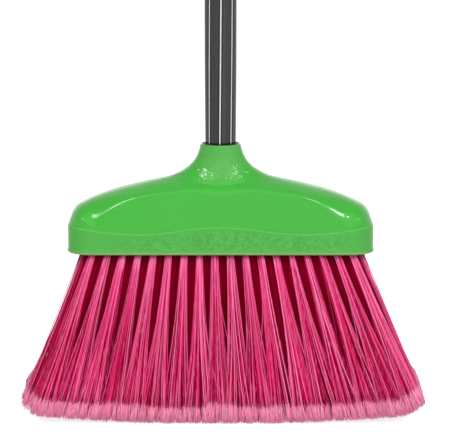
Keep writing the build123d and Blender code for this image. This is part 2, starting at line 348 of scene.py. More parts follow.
def make_piece(name, points, quads, triangles=None, flat_ends=False):
    """A smooth-shaded mesh object from points in millimetres, quads, and triangles that may be flat caps."""
    if triangles is None:
        triangles = np.zeros((0, 3), np.int64)
    mesh = bpy.data.meshes.new(name)
    mesh.vertices.add(len(points))
    mesh.vertices.foreach_set("co", (points * MM).astype(np.float32).ravel())
    corners = np.concatenate([quads.ravel(), triangles.ravel()])
    starts = np.concatenate([np.arange(len(quads)) * 4, 4 * len(quads) + np.arange(len(triangles)) * 3])
    mesh.loops.add(len(corners))
    mesh.loops.foreach_set("vertex_index", corners.astype(np.int32))
    mesh.polygons.add(len(starts))
    mesh.polygons.foreach_set("loop_start", starts.astype(np.int32))
    smooth = np.ones(len(starts), bool)
    smooth[len(quads) :] = not flat_ends
    mesh.polygons.foreach_set("use_smooth", smooth)
    mesh.update(calc_edges=True)
    if mesh.validate():
        raise RuntimeError(f"{name} has faces that aren't sound")
    piece = bpy.data.objects.new(name, mesh)
    bpy.context.scene.collection.objects.link(piece)
    return piece


def grid_quads(rows, columns, wrap_rows=False, wrap_columns=True):
    """Quads of a grid of points: down a row, then on a column."""
    row = np.arange(rows if wrap_rows else rows - 1)[:, None]
    column = np.arange(columns if wrap_columns else columns - 1)[None, :]
    after = (column + 1) % columns
    here = row * columns
    below = (row + 1) % rows * columns
    return np.stack([here + column, below + column, below + after, here + after], -1).reshape(-1, 4)


def pole_triangles(ring, pole, columns, first):
    """The fan that closes the first or last ring of a grid on one point."""
    column = np.arange(columns)
    here = ring + column
    after = ring + (column + 1) % columns
    return np.stack([np.full(columns, pole), *((here, after) if first else (after, here))], -1)


def poled_piece(name, rings, first_pole, last_pole):
    """A closed piece from rings of points, each end closed on a pole at that height of the Z axis."""
    rows, columns = rings.shape[:2]
    points = np.concatenate([rings.reshape(-1, 3), [(0.0, 0.0, first_pole), (0.0, 0.0, last_pole)]])
    count = rows * columns
    first = pole_triangles(0, count, columns, True)
    last = pole_triangles(count - columns, count + 1, columns, False)
    return make_piece(name, points, grid_quads(rows, columns), np.concatenate([first, last]))


def looped_piece(name, rings):
    """A closed piece from rings of points, the last joined to the first."""
    return make_piece(name, rings.reshape(-1, 3), grid_quads(*rings.shape[:2], wrap_rows=True))


def ring_normals(rings):
    """Unit normals of a grid of rings: the cross product of the steps down and along."""
    down = np.gradient(rings, axis=0)
    along = np.roll(rings, -1, axis=1) - np.roll(rings, 1, axis=1)
    normals = np.cross(down, along)
    return normals / np.maximum(np.linalg.norm(normals, axis=2, keepdims=True), TINY)


def turned_rings(radii, heights, columns):
    """Rings round the Z axis: a row is a height, with one radius or a radius for each column."""
    radius = np.asarray(radii, float).reshape(len(heights), -1, 1)
    return raised(radius * compass(np.arange(columns) * TURN / columns), np.asarray(heights, float)[:, None])


def pebbles(points, size):
    """Soft pebbling from -1 to 1: seeded values on a tilted lattice of that size, eased between them."""
    values = np.random.default_rng(LATTICE_SEED).uniform(-1.0, 1.0, (LATTICE, LATTICE, LATTICE))
    place = points @ LATTICE_TILT / size
    cell = np.floor(place).astype(int)
    share = eased(place - cell)
    total = np.zeros(points.shape[:-1])
    for corner in np.ndindex(2, 2, 2):
        x, y, z = np.moveaxis((cell + corner) % LATTICE, -1, 0)
        total += np.prod(np.where(corner, share, 1.0 - share), axis=-1) * values[x, y, z]
    return np.clip(PEBBLE_GAIN * total, -1.0, 1.0)


def pebbling(points, size):
    """Pebbles of that size with fine ones over them."""
    return COARSE_SHARE * pebbles(points, size) + FINE_SHARE * pebbles(points, FINE_PEBBLE)


def add_values(piece, name, values):
    """Give a piece a named value at each point, with zeros for points past the last value."""
    attribute = piece.data.attributes.new(name, "FLOAT", "POINT")
    padded = np.pad(values, (0, len(piece.data.vertices) - len(values)))
    attribute.data.foreach_set("value", padded.astype(np.float32))


# Head cover


def outline_columns(front, corner, side):
    """Base points and outward normals round the head's plan, anticlockwise from the left end of the front.

    The plan is a box of corner centres grown by the corner radius, so a point is its base plus radius times
    normal.
    """
    centres = np.array([(-1, -1), (1, -1), (1, 1), (-1, 1)]) * (CORNER_X, CORNER_Y)
    bases = []
    turns = []
    for i, count in enumerate((front, side, front, side)):
        start = centres[i]
        end = centres[(i + 1) % 4]
        along = np.arange(count)[:, None] / count
        bases += [start + (end - start) * along, np.repeat(end[None, :], corner, 0)]
        turns += [np.full(count, i - 1.0), i - 1.0 + np.arange(corner) / corner]
    return np.concatenate(bases), compass(np.concatenate(turns) * QUARTER)


def outline(columns, inset):
    """The plan's outline moved inwards by an inset, one point a column."""
    bases, normals = columns
    return bases + (CORNER_RADIUS - inset) * normals


def inside_distance(x, y):
    """How far a plan point lies inside the body's wall: the radius less the distance past the corner box."""
    past_x = np.abs(x) - CORNER_X
    past_y = np.abs(y) - CORNER_Y
    past = np.hypot(np.maximum(past_x, 0.0), np.maximum(past_y, 0.0))
    return CORNER_RADIUS - STEP - past - np.minimum(np.maximum(past_x, past_y), 0.0)


def crest_height(x, lowered):
    """Height of the crest line moved inwards: a wide arc, a tight shoulder arc and a straight end."""
    across = np.abs(x)
    slope = math.asin(CREST_HALF / CREST_RADIUS)
    wide = CREST_RADIUS - lowered
    tight = SHOULDER_RADIUS - lowered
    centre_x = (CREST_RADIUS - SHOULDER_RADIUS) * math.sin(slope)
    centre_z = CREST_HEIGHT - CREST_RADIUS + (CREST_RADIUS - SHOULDER_RADIUS) * math.cos(slope)
    arc = CREST_HEIGHT - CREST_RADIUS + np.sqrt(np.maximum(wide**2 - across**2, 0.0))
    shoulder = centre_z + np.sqrt(np.maximum(tight**2 - (across - centre_x) ** 2, 0.0))
    end_x = centre_x + tight * math.sin(SHOULDER_SLOPE)
    straight = centre_z + tight * math.cos(SHOULDER_SLOPE) - (across - end_x) * math.tan(SHOULDER_SLOPE)
    height = np.where(across < centre_x + tight * math.sin(slope), arc, shoulder)
    return np.where(across < end_x, height, straight)


def wave_height(x):
    """Height of the skirt's waved edge: parabolas up and down by turns, the centre one up."""
    halves = x / WAVE_HALF_PITCH + 0.5
    whole = np.floor(halves)
    place = halves - whole
    sign = np.where(whole % 2 == 0, 1.0, -1.0)
    return WAVE_MEAN + sign * WAVE_SWING * 4.0 * place * (1.0 - place)


def crown_height(x, y, lowered=0.0):
    """Height of the crowned body: the crest lowered by the crown's circle and by a quarter round at the wall.

    The round is tight along the middle, soft near the ends and deepest just before them, and the crown is a
    little flatter between and a little higher before the shoulders. In front of the neck the edge dips
    towards the wall by a power of the depth.
    """
    across = np.abs(x)
    softer = smooth_step(across, *SOFT_SPAN)
    inset = np.clip(inside_distance(x, y) / (EDGE_RUN + (SOFT_EDGE_RUN - EDGE_RUN) * softer), 0.0, 1.0)
    drop = EDGE_DROP + (SOFT_EDGE_DROP - EDGE_DROP) * softer + END_BEND * smooth_step(across, *BEND_SPAN)
    drop = drop + (END_EDGE_DROP - SOFT_EDGE_DROP - END_BEND) * smooth_step(across, *END_SPAN)
    edge = drop * (1.0 - np.sqrt(inset * (2.0 - inset)))
    fuller = FULLNESS * hump(across, *FULL_SPANS)
    crown = (CROWN_RADIUS - np.sqrt(CROWN_RADIUS**2 - y**2)) * (1.0 - fuller)
    outwards = np.abs(y) / (CORNER_Y + CORNER_RADIUS - STEP)
    dip = NECK_DIP * np.exp(-((x / DIP_HALF) ** 2)) * outwards**DIP_POWER
    height = crest_height(x, crown + edge + lowered) + END_LIFT * hump(across, *LIFT_SPANS) - dip
    return soft_max(height, wave_height(x) + CROWN_LEAST - lowered, CROWN_SOFT)


def neck_halves(height):
    """Half width and half depth of the neck's ellipse, both falling off exponentially to a least size."""
    halves = (NECK_WIDTH, NECK_DEPTH)
    return np.array([least + flare * np.exp((NECK_FOOT - height) / fall) for least, flare, fall in halves])


def neck_height(x, y):
    """The height where the neck's ellipse passes through a plan point, by halving a range, cut off below."""
    low, high = (np.full(np.shape(x), limit) for limit in NECK_RANGE)
    for _ in range(HALVINGS):
        middle = (low + high) / 2.0
        width, depth = neck_halves(middle)
        outside = (x / width) ** 2 + (y / depth) ** 2 > 1.0
        high = np.where(outside, middle, high)
        low = np.where(outside, low, middle)
    height = (low + high) / 2.0
    return height - NECK_CUT * np.maximum(NECK_LOWEST - height, 0.0)


def cover_rings(relief):
    """Rings of the cover from its socket's floor over rim, neck, crown and wall and back up inside.

    On the neck a ring is an ellipse, with a fine groove below the rim. Over the crown it moves straight in
    plan from the neck's foot to the outline, and its height is the soft maximum of neck and crown. The neck's
    foot is pebbled along the normals. The tints of relief and grain come with the rings, a value for each
    point before the wall: the relief's is painted shade in the pits and painted highlight on the bumps, and
    the grain's marks the neck's foot for a paler green painted in for its sheen.
    """
    columns = outline_columns(*COVER_COLUMNS)
    count = len(columns[0])
    turn = compass((np.arange(count) - COVER_COLUMNS[0] // 2) * TURN / count - QUARTER)

    def ellipse(height, inset=0.0):
        return turn * (neck_halves(height) - inset)

    def skin(plan):
        x, y = plan.T
        return raised(plan, soft_max(neck_height(x, y), crown_height(x, y), NECK_SOFT))

    def neck_ring(height):
        if height < NECK_PLAIN:
            return skin(ellipse(height))
        groove = GROOVE_DEPTH * math.exp(-(((height - GROOVE_HEIGHT) / GROOVE_HALF) ** 2))
        return raised(ellipse(height, groove), height)

    bore = [(SOCKET_BORE, height) for height in BORE_LEVELS]
    bore += [
        (SOCKET_BORE + BORE_ROUND * (1.0 - math.cos(t)), RIM - BORE_ROUND * (1.0 - math.sin(t)))
        for t in BORE_TURNS
    ]
    inside = [raised(turn * radius, height) for radius, height in (*bore, *RIM_STEP)]
    rim = []
    for t in np.linspace(0.0, QUARTER, 8):
        plan = ellipse(RIM) * (1.0 - RIM_TAPER * (1.0 - math.sin(t)))
        rim.append(raised(plan, RIM_TOP - RIM_ROUND * (1.0 - math.cos(t))))
    neck = [neck_ring(height) for height in NECK_LEVELS]
    foot = ellipse(NECK_JOIN)
    edge = outline(columns, STEP + EDGE_RUN)
    crown = [skin(foot + (edge - foot) * s) for s in np.linspace(0.0, 1.0, CROWN_RINGS)[1:]]
    insets = STEP + EDGE_RUN * (1.0 - np.sin(np.linspace(0.0, QUARTER, EDGE_RINGS)[1:]))
    shoulder = [skin(outline(columns, inset)) for inset in insets]
    wall_plan = outline(columns, STEP)
    top = shoulder[-1][:, 2]
    bottom = wave_height(wall_plan[:, 0]) - COVER_TUCK
    wall = [raised(wall_plan, top + (bottom - top) * s) for s in np.linspace(0.0, 1.0, COVER_RINGS)[1:]]
    inner_plan = outline(columns, STEP + WALL)
    tube = turn * SOCKET_RADIUS
    wall.append(raised(inner_plan, bottom))
    for s in np.linspace(0.0, 1.0, INNER_RINGS):
        plan = inner_plan + (tube - inner_plan) * s
        x, y = plan.T
        wall.append(raised(plan, np.maximum(crown_height(x, y, WALL), wave_height(x) - INNER_LEAST)))
    wall += [raised(tube, height) for height in (SOCKET_MIDDLE, SOCKET_FOOT)]

    outer = np.stack(rim + neck + crown + shoulder)
    x, _, z = np.moveaxis(outer, -1, 0)
    amount = hump(z, *RELIEF_SPANS) * (1.0 - smooth_step(np.abs(x), *RELIEF_REACH))
    bumps = pebbling(outer, NECK_PEBBLE) * amount * (1.0 + DEEPER * hump(x, *DEEPER_SPANS))
    outer = outer + ring_normals(outer) * bumps[..., None] * relief
    x, _, z = np.moveaxis(outer, -1, 0)
    # Mask of the paler green painted in for the sheen of the neck's foot
    grain = smooth_step(z, *SHEEN_RISE) * (1.0 - smooth_step(np.abs(x), *SHEEN_REACH))
    rings = np.concatenate([np.stack(inside), outer, np.stack(wall)])
    rings[..., 2] += SKIRT_Z
    before = np.zeros(len(inside) * count)
    return rings, *(np.concatenate([before, tint.ravel()]) for tint in (RELIEF_PAINTED_SHADE * bumps, grain))


def band_rings(stipple):
    """Rings of the skirt's band, a closed loop: ledge, waved edge, stippled wall, rounded lip and inner wall.

    A ring is the outline at one inset. The wall's heights run evenly from the waved edge to the lip. The
    stipple's tint comes with the rings, a value for each point before the inner wall: painted shade in the
    pits, painted highlight on the bumps, and a painted highlight line along the rounded waved edge.
    """
    columns = outline_columns(*BAND_COLUMNS)

    def ring(inset, height):
        return raised(outline(columns, inset), height)

    wave = wave_height(outline(columns, 0.0)[:, 0])
    top = wave + LEDGE_TOP
    foot = top - LEDGE_ROUND
    turn = np.linspace(0.0, QUARTER, 6)
    lip = LIP_TOP + LIP_BEVEL
    ledge = [ring(inset, top) for inset in LEDGE_INSETS]
    edge = [
        ring(BAND_INSET + LEDGE_ROUND * (1.0 - math.sin(t)), top - LEDGE_ROUND * (1.0 - math.cos(t)))
        for t in np.linspace(LEDGE_START, QUARTER, 8)
    ]
    wall = [ring(BAND_INSET, foot + (lip - foot) * s) for s in np.linspace(0.0, 1.0, BAND_RINGS)[1:]]
    wall += [ring(BAND_INSET * (1.0 - math.sin(t)), lip - LIP_BEVEL * math.sin(t)) for t in turn[1:]]
    wall += [ring(LIP_ROUND * (1.0 - math.cos(t)), LIP_ROUND * (1.0 - math.sin(t))) for t in turn]
    inner = [ring(inset, height) for inset, height in BAND_INNER]
    outer = np.stack(ledge + edge + wall)
    x, _, z = np.moveaxis(outer, -1, 0)
    amount = smooth_step(z, *STIPPLE_LOW) * smooth_step(wave - z, *STIPPLE_HIGH)
    near = 1.0 - smooth_step(np.abs(x - STIPPLE_MIDDLE), *STIPPLE_REACH)
    bumps = pebbling(outer, BAND_PEBBLE) * amount * (STIPPLE_LEAST + (1.0 - STIPPLE_LEAST) * near)
    outer = outer + ring_normals(outer) * bumps[..., None] * stipple
    # Painted highlight line on the rounded waved edge, through the finish's tint
    bumps[len(ledge) : len(ledge + edge) - 1] = LEDGE_PAINTED_HIGHLIGHT
    rings = np.concatenate([outer, np.stack(inner)])
    rings[..., 2] += SKIRT_Z
    return rings, bumps.ravel()


# Tuft board and bristles


def tuft_roots(row):
    """Plan places of one row's tufts on the board, which stand a little right of the head's middle."""
    count = ROW_TUFTS[row]
    x = (np.arange(count) - (count - 1) / 2.0) * TUFT_PITCH + ROOT_SHIFT
    y = np.full(count, (row - (len(ROW_TUFTS) - 1) / 2.0) * ROW_PITCH)
    return np.stack([x, y], -1)


def board_points(collar):
    """The board's face and back: rows across its depth, crowded towards the edges, and columns along it.

    The face dips into a pocket at each tuft, by a smooth step of the distance to the nearest root, and rises
    in a collar round it, a bell curve of that distance.
    """
    rows, columns = BOARD_GRID
    radius = CORNER_RADIUS - BOARD_INSET
    half = CORNER_Y + radius
    share = np.linspace(-1.0, 1.0, rows)
    y = half * (0.5 * np.sin(share * BOARD_CROWDING) / math.sin(BOARD_CROWDING) + 0.5 * share)
    length = CORNER_X + np.sqrt(np.maximum(radius**2 - np.maximum(np.abs(y) - CORNER_Y, 0.0) ** 2, 0.0))
    x = length[:, None] * np.linspace(-1.0, 1.0, columns)
    plan = np.stack([x, np.broadcast_to(y[:, None], x.shape)], -1)
    roots = np.concatenate([tuft_roots(row) for row in range(len(ROW_TUFTS))])
    away = np.min(np.linalg.norm(plan[:, :, None, :] - roots, axis=-1), axis=2)
    pocket = POCKET_DEPTH * (1.0 - smooth_step(away, *POCKET_WALL))
    ridge = collar * np.exp(-(((away - COLLAR_RADIUS) / COLLAR_HALF) ** 2))
    face = SKIRT_Z + BOARD_FACE + pocket - ridge
    face[[0, -1]] = SKIRT_Z + BOARD_FACE + BOARD_BEVEL
    face[:, [0, -1]] = SKIRT_Z + BOARD_FACE + BOARD_BEVEL
    return raised(plan, face), raised(plan, SKIRT_Z + BOARD_BACK)


def slab_piece(name, face, back):
    """A closed slab from two grids over one plan: the face turned down, the back up, a wall round the rim."""
    rows, columns = face.shape[:2]
    count = rows * columns
    index = np.arange(count).reshape(rows, columns)
    border = np.concatenate([index[0, :-1], index[:-1, -1], index[-1, :0:-1], index[:0:-1, 0]])
    after = np.roll(border, -1)
    down = grid_quads(rows, columns, wrap_columns=False)
    wall = np.stack([border, after, after + count, border + count], -1)
    points = np.concatenate([face.reshape(-1, 3), back.reshape(-1, 3)])
    return make_piece(name, points, np.concatenate([down, down[:, ::-1] + count, wall]))


def strands(paths, radii, spin):
    """Three-sided closed strands: a triangle of the given radii carried along each path of points.

    The triangle's axes are square to the straight line from a path's first point to its last.
    """
    count, steps = radii.shape
    way = paths[:, -1] - paths[:, 0]
    way = way / np.linalg.norm(way, axis=1, keepdims=True)
    side = np.cross(way, np.array([0.0, 1.0, 0.0]))
    side = side / np.linalg.norm(side, axis=1, keepdims=True)
    other = np.cross(way, side)
    angle = spin[:, None] + np.arange(3) * TURN / 3.0
    ring = np.cos(angle)[..., None] * side[:, None, :] + np.sin(angle)[..., None] * other[:, None, :]
    points = paths[:, :, None, :] + radii[:, :, None, None] * ring[:, None, :, :]
    first = np.arange(count) * steps * 3
    last = first + (steps - 1) * 3
    step = first[:, None, None] + np.arange(steps - 1)[None, :, None] * 3
    here = step + np.arange(3)
    beside = step + (np.arange(3) + 1) % 3
    quads = np.stack([here, beside, beside + 3, here + 3], -1).reshape(-1, 4)
    ends = [np.stack([first, first + 2, first + 1], -1), np.stack([last, last + 1, last + 2], -1)]
    return points.reshape(-1, 3), quads, np.concatenate(ends)


def sunflower(count, radius):
    """Points spread evenly over a disc: each a golden turn on, its radius by the root of its share."""
    place = np.arange(count)
    return radius * np.sqrt((place + 0.5) / count)[:, None] * compass(place * GOLDEN_TURN)


def eased_in(plan):
    """Plan points kept inside the bristles' box: past an easing line drawn in by a hyperbolic tangent."""
    room = TIP_LIMIT - TIP_EASE
    plan = plan - TIP_MIDDLE
    past = np.maximum(np.abs(plan) - TIP_EASE, 0.0)
    return TIP_MIDDLE + np.sign(plan) * (np.minimum(np.abs(plan), TIP_EASE) + room * np.tanh(past / room))


def tip_height(x):
    """Height of the trimmed tips above the floor: a wide parabola, turned up at both ends."""
    ends = np.maximum(np.abs(x) - TURN_UP_FROM, 0.0) / TURN_UP_RUN
    return np.maximum(x**2 / (2.0 * TIP_ARC) - TIP_FLAT, 0.0) + TURN_UP * ends**2


def bristle_row(row, settings):
    """One row's filaments: points, quads, triangles, and the points' place in the split end, tone and painted
    inner shade.

    A tuft is a sunflower disc of roots. Neighbouring roots share a clump, and a tip is the tuft's fanned
    place plus its clump's spread and wander. A filament is a line from root to tip with a shallow parabola of
    bow, its share of the tuft's spread grows as a power of its length, and it splits near its end into finer
    hairs.
    """
    draw = np.random.default_rng(settings.seed + row)
    roots = tuft_roots(row)[:, None, :]
    tufts = len(roots)
    per_tuft = settings.filaments
    count = tufts * per_tuft
    plain_radius = settings.tuft_radius / MM
    tuft_radius = plain_radius * (INNER_FULLNESS if 0 < row < len(ROW_TUFTS) - 1 else 1.0)
    disc = sunflower(per_tuft, tuft_radius)
    hearts = sunflower(settings.clumps, tuft_radius)
    nearest = np.argmin(np.linalg.norm(disc[:, None, :] - hearts, axis=-1), axis=1)

    turn = draw.uniform(0.0, TURN, tufts)[:, None, None]

    def turned(flat):
        x = flat[:, :1]
        y = flat[:, 1:]
        return np.concatenate([np.cos(turn) * x - np.sin(turn) * y, np.sin(turn) * x + np.cos(turn) * y], -1)

    spots = turned(disc)
    clumps = turned(hearts)
    clump_tips = clumps * settings.tip_spread + draw.normal(0.0, CLUMP_WANDER, clumps.shape)
    tips = clump_tips[:, nearest] + (spots - clumps[:, nearest]) * CLUMP_SPREAD
    tips = tips + draw.normal(0.0, TIP_JITTER, tips.shape)
    stray = draw.random((tufts, per_tuft)) < settings.strays
    sweep = draw.normal(0.0, 1.0, tips.shape) * STRAY_SWEEP
    aside = sweep[..., 0]
    side = roots[..., 0]
    sweep[..., 0] = np.where(np.abs(side) > STRAY_INWARD, -np.sign(side) * np.abs(aside), aside)
    tips = tips + np.where(stray[..., None], sweep, 0.0)
    tip_plan = eased_in(roots * FAN + np.array([settings.lean / MM, 0.0]) + tips)
    short = np.minimum(draw.exponential(TIP_SHORT, (tufts, per_tuft)), TIP_SHORTEST)
    start = raised(roots + spots, SKIRT_Z + BOARD_FACE + ROOT_DEPTH).reshape(-1, 1, 3)
    end = raised(tip_plan, tip_height(tip_plan[..., 0]) + TIP_TRIM + short).reshape(-1, 1, 3)
    bow = draw.normal(0.0, BOW, (count, 2)) * np.where(stray.reshape(-1, 1), STRAY_BOW, 1.0)
    bow = raised(bow, 0.0)[:, None, :]
    flare = raised(tips - spots, 0.0).reshape(-1, 1, 3)
    flag = np.repeat(draw.normal(1.0, FLAG_TUFT_SPREAD, tufts), per_tuft) * draw.uniform(*FLAG_RANGE, count)
    flag = flag[:, None] * settings.flag_share
    pale = stray.ravel() | (draw.random(count) < settings.pale_share)
    core = 1.0 - smooth_step(np.linalg.norm(disc, axis=1) / tuft_radius, *CORE_SPAN)
    core = np.tile(core, tufts)[:, None]
    tone = (draw.normal(0.0, 1.0, count) + np.where(pale, PALE_TONE, 0.0))[:, None]
    # Painted shade: the core of each tuft is put a tone darker
    tone = tone + TONE_LIFT - CORE_SHADE_TONE * core
    # How far a root lies inside the brush, for the painted shade on filaments hidden behind others
    to_edge = BRUSH_HALF + plain_radius - np.abs(start[..., :2])
    inside = smooth_step(np.min(to_edge, axis=-1), *INSIDE_SPAN)
    thick = settings.filament_radius / MM * draw.uniform(*THICK_RANGE, (count, 1))
    meshes = []
    values = {"split": [], "tone": [], "deep": []}

    def along(shares):
        t = shares[..., None]
        return start + (end - start) * t + bow * 4.0 * t * (1.0 - t) + flare * (t**FLARE_POWER - t)

    def add_strands(paths, shares, radii):
        meshes.append(strands(paths, thick * radii, draw.uniform(0.0, TURN, count)))
        # Painted shade on filaments inside the brush and at each tuft's core, a little less towards the tips
        buried_shade = inside * (1.0 - BURIED_SHADE_LOSS * smooth_step(shares, *BURIED_SPAN))
        values["split"].append((shares - 1.0 + flag) / flag)
        values["tone"].append(np.broadcast_to(tone, shares.shape))
        values["deep"].append(np.maximum(buried_shade, CORE_SHADE * core))

    shares = np.linspace(0.0, 1.0, len(SHAFT_RADII)) * (1.0 - FLAG_OVERLAP * flag)
    add_strands(along(shares), shares, SHAFT_RADII)
    shares = np.concatenate([1.0 - flag, 1.0 - HAIR_START * flag, np.ones((count, 1))], -1)
    for _ in range(settings.hairs):
        splay = draw.normal(0.0, HAIR_SPLAY_SIZE, (count, 3)) * HAIR_SPLAY
        paths = along(shares) + splay[:, None, :] * HAIR_GROWTH
        paths[..., 2] = np.maximum(paths[..., 2], HAIR_LOWEST)
        paths[..., :2] = np.clip(paths[..., :2], TIP_MIDDLE - TIP_LIMIT, TIP_MIDDLE + TIP_LIMIT)
        add_strands(paths, shares, HAIR_RADII)
    sizes = np.cumsum([0] + [len(mesh[0]) for mesh in meshes])
    points = np.concatenate([mesh[0] for mesh in meshes])
    quads = np.concatenate([mesh[1] + size for mesh, size in zip(meshes, sizes)])
    triangles = np.concatenate([mesh[2] + size for mesh, size in zip(meshes, sizes)])
    for name, parts in values.items():
        values[name] = np.repeat(np.concatenate([part.ravel() for part in parts]), 3)
    return points, quads, triangles, values


# Handle


def ferrule_rings(depth):
    """Rings of the ferrule from its foot over thread and flange and down its bore.

    The thread's radius is the core plus a flat-topped wave of height less turn, so its ridge climbs a pitch
    in each turn.
    """
    heights = np.linspace(THREAD_FOOT, THREAD_TOP, THREAD_RINGS)
    angle = np.arange(FERRULE_COLUMNS) * TURN / FERRULE_COLUMNS
    ridge = smooth_step(np.cos(TURN * heights[:, None] / THREAD_PITCH - angle), *THREAD_FLANK)
    core = SPIGOT_RADIUS - depth
    thread = core + depth * ridge * hump(heights, *THREAD_SPANS)[:, None]
    edge = (FLANGE_TOP - FLANGE_FOOT) / 2.0
    foot = [(core - FOOT_INSETS[0], FERRULE_FOOT), (core - FOOT_INSETS[1], FERRULE_FOOT + FOOT_RISE)]
    top = [(core, FLANGE_FOOT - FLANGE_FILLET), (core + FLANGE_FILLET, FLANGE_FOOT)]
    for t in np.linspace(-QUARTER, QUARTER, 9):
        top.append((FLANGE_RADIUS - edge * (1.0 - math.cos(t)), FLANGE_FOOT + edge * (1.0 + math.sin(t))))
    bore = FERRULE_BORE
    top += [(bore + BORE_BEVEL, FLANGE_TOP), (bore, FLANGE_TOP - BORE_BEVEL), (bore, FERRULE_FLOOR)]
    parts = (zip(*foot), (thread, heights), zip(*top))
    return np.concatenate([turned_rings(*part, FERRULE_COLUMNS) for part in parts])[:, ::-1]


def film_rings(ripple):
    """Rings of the film's closed sleeve: outside up the stick, round the top edge, and down the inside.

    The radius runs straight from the foot to the full size, plus a faint ripple round the shrunk foot.
    """
    taper, straight = FILM_RINGS
    heights = [np.linspace(FILM_FOOT, TAPER_TOP, taper), np.linspace(TAPER_TOP, FILM_TOP, straight)[1:]]
    heights = np.concatenate(heights)
    angle = np.arange(FILM_COLUMNS) * TURN / FILM_COLUMNS
    radius = np.interp(heights, [FILM_FOOT, TAPER_TOP], [FILM_FOOT_RADIUS, FILM_RADIUS])
    waves = sum(size * np.sin(angle * count + phase) for size, count, phase in RIPPLE_WAVES)
    fade = np.maximum(np.exp(-(heights - FILM_FOOT) / RIPPLE_FALL) - RIPPLE_END, 0.0)
    radius = radius[:, None] - ripple * (1.0 + RIPPLE_SWING * waves) * fade[:, None]
    outside = turned_rings(radius, heights, FILM_COLUMNS)
    inside = turned_rings([FILM_INNER, FILM_INNER], [FILM_TOP, FILM_FOOT], FILM_COLUMNS)
    return np.concatenate([outside, inside])[:, ::-1]


def cap_rings(softness):
    """The cap as a ring round its hanging hole: a column is a ray from the hole, a row goes round a section.

    Seen from the front a ray runs from the hole's edge to the cap's outline, half a disc on a straight
    sleeve. The half depth there is the smaller of the sleeve's circle and the tab's flat, eased into each
    other and rounded in at the hole and at the outline.
    """
    foot = math.atan2(CAP_HOLE_Z - FILM_TOP, FILM_RADIUS)
    bends = (0.0, math.pi, math.pi + foot, TURN - foot, TURN)
    rays = zip(bends, bends[1:], CAP_RAYS)
    ray = np.concatenate([np.linspace(start, end, count, endpoint=False) for start, end, count in rays])
    cos = np.cos(ray)
    sin = np.sin(ray)
    to_side = FILM_RADIUS / np.maximum(np.abs(cos), TINY)
    to_foot = (CAP_HOLE_Z - FILM_TOP) / np.maximum(-sin, TINY)
    reach = np.where(sin >= 0.0, FILM_RADIUS, np.minimum(to_side, to_foot))
    share = (1.0 - np.cos(np.linspace(0.0, math.pi, CAP_RINGS))) / 2.0
    out = CAP_HOLE_RADIUS + (reach - CAP_HOLE_RADIUS) * share[:, None]
    x = out * cos
    z = CAP_HOLE_Z + out * sin
    circle = np.sqrt(np.maximum(FILM_RADIUS**2 - x**2, 0.0))
    flat = np.interp(z, [CAP_SLEEVE_TOP, CAP_TAB_FOOT], [FILM_RADIUS, CAP_TAB_HALF])
    depth = np.maximum(-soft_max(-circle, -flat, CAP_SOFT), 0.0)
    below = np.minimum(FILM_RADIUS - np.abs(x), z - FILM_TOP + softness)
    for gap in (np.where(z > CAP_HOLE_Z, reach - out, below), out - CAP_HOLE_RADIUS):
        near = np.clip(gap / softness, 0.0, 1.0)
        rounded = depth - softness * (1.0 - np.sqrt(near * (2.0 - near)))
        depth = np.minimum(depth, np.maximum(rounded, CAP_LEAST))
    return np.concatenate([np.stack([x, -depth, z], -1), np.stack([x, depth, z], -1)[::-1]])


# Finishes


class Nodes:
    """Short ways to add nodes to the tree of a material or world."""

    def __init__(self, owner):
        owner.use_nodes = True
        self.tree = owner.node_tree

    def put(self, socket, value):
        """Link a socket to an input, or set any other value on it."""
        if isinstance(value, bpy.types.NodeSocket):
            self.tree.links.new(value, socket)
        else:
            socket.default_value = value

    def add(self, kind, inputs=None, **settings):
        """A new node with its settings and inputs."""
        node = self.tree.nodes.new("ShaderNode" + kind)
        for name, value in settings.items():
            setattr(node, name, value)
        for key, value in (inputs or {}).items():
            self.put(node.inputs[key], value)
        return node

    def attribute(self, name):
        """A value that the piece has at its points."""
        return self.add("Attribute", attribute_name=name).outputs["Fac"]

    def place(self, stretch=(1.0, 1.0, 1.0)):
        """Object coordinates in metres, stretched."""
        place = self.add("TexCoord").outputs["Object"]
        return self.add("Mapping", {"Vector": place, "Scale": stretch}).outputs["Vector"]

    def axes(self, place):
        """The three values of a place."""
        return self.add("SeparateXYZ", {"Vector": place}).outputs

    def noise(self, place, scale, detail=3.0, roughness=0.5):
        """A noise value about 0.5."""
        inputs = {"Vector": place, "Scale": scale, "Detail": detail, "Roughness": roughness}
        return self.add("TexNoise", inputs).outputs["Fac"]

    def math(self, operation, *values):
        """A math node's result."""
        return self.add("Math", dict(enumerate(values)), operation=operation).outputs[0]

    def opposite(self, value):
        """1 less a value."""
        return self.math("SUBTRACT", 1.0, value)

    def between(self, factor, low, high):
        """A value or colour between two, by a factor socket."""
        if isinstance(low, float):
            return self.add("MapRange", {"Value": factor, "To Min": low, "To Max": high}).outputs["Result"]
        ends = [end if isinstance(end, bpy.types.NodeSocket) else (*end, 1.0) for end in (low, high)]
        return self.add("Mix", {0: factor, 6: ends[0], 7: ends[1]}, data_type="RGBA").outputs[2]

    def smooth(self, value, low, high):
        """0 to 1 by smooth step between two values."""
        inputs = {"Value": value, "From Min": low, "From Max": high}
        return self.add("MapRange", inputs, interpolation_type="SMOOTHSTEP").outputs["Result"]

    def blend(self, value, low, high, first, second):
        """From first to second by smooth step, as a value goes from low to high."""
        return self.between(self.smooth(value, low, high), first, second)

    def bump(self, height, distance):
        """A bump normal from a height socket."""
        return self.add("Bump", {"Height": height, "Distance": distance}).outputs["Normal"]

    def seen(self):
        """1 for rays that show a thing straight, mirrored or through glass, and 0 for the others."""
        rays = self.add("LightPath").outputs
        seen = self.math("MAXIMUM", rays["Is Camera Ray"], rays["Is Glossy Ray"])
        return self.math("MAXIMUM", seen, rays["Is Transmission Ray"])


